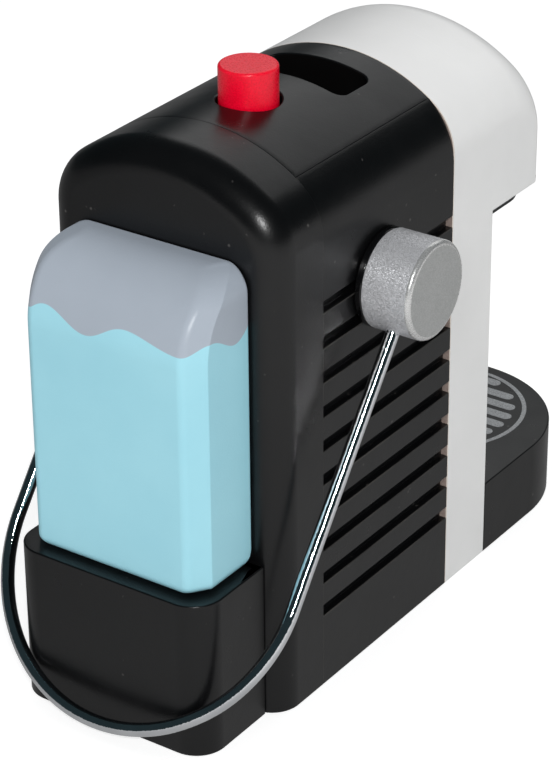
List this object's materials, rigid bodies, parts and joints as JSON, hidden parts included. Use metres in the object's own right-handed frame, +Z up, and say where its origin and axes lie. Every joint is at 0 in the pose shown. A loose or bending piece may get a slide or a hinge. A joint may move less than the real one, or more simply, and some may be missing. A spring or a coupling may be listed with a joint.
{
  "type": "toy coffee maker",
  "caption": "Toy capsule coffee maker in painted wood: arched body with grooved sides, wire bail, push button, capsule slot, lift-off water tank and a round drip base.",
  "frame": {"origin": "middle of the front panel's underside, on the floor", "axes": "+Z up, -Y towards the front with the drip base, +X to the right seen from the front"},
  "size_m": [0.146, 0.2807, 0.2288],
  "materials": {
    "black_paint": "satin",
    "white_paint": "satin",
    "silver_paint": "satin",
    "silver_print": "satin",
    "black_gloss": "gloss",
    "red_paint": "satin",
    "tank_paint": "satin",
    "chrome_wire": "polished",
    "steel": "satin",
    "bare_wood": "matte"
  },
  "bodies": {
    "housing": {"base_block": "black_paint", "base_dowels": "bare_wood", "drip_grate_print": "silver_print", "front_panel": "white_paint", "head_block": "white_paint", "head_dowels": "bare_wood", "brew_plate": "black_paint", "coffee_spout": "black_paint", "spout_dowel": "bare_wood", "left_side_panel": "black_paint", "right_side_panel": "black_paint", "front_panel_dowels": "bare_wood", "back_board": "black_paint", "back_board_dowels": "bare_wood", "top_block": "black_paint", "top_block_dowels": "bare_wood", "tank_ledge": "black_paint", "ledge_dowels": "bare_wood"},
    "handle": {"handle_axle": "bare_wood", "left_knob": "silver_paint", "right_knob": "silver_paint", "left_spacer": "black_gloss", "right_spacer": "black_gloss", "wire_bail": "chrome_wire"},
    "button": {"button_cap": "red_paint", "button_stem": "bare_wood", "button_spring": "steel", "button_washer": "steel", "button_screw": "steel"},
    "water_tank": {"water_tank": "tank_paint", "tank_pegs": "bare_wood"}
  },
  "joints": [
    {"name": "handle_pivot", "type": "hinge", "parent": "housing", "child": "handle", "pos_m": [0, 0.063, 0.1548], "axis": [1, 0, 0], "range_deg": [0, 272]},
    {"name": "button_press", "type": "slide", "parent": "housing", "child": "button", "axis": [0, 0, -1], "range_m": [0, 0.007], "stiffness_N_per_m": 300, "springref_m": -0.002, "deforming": ["button_spring"]},
    {"name": "tank_lift", "type": "slide", "parent": "housing", "child": "water_tank", "axis": [0, 0, 1], "range_m": [0, 0.12]}
  ]
}
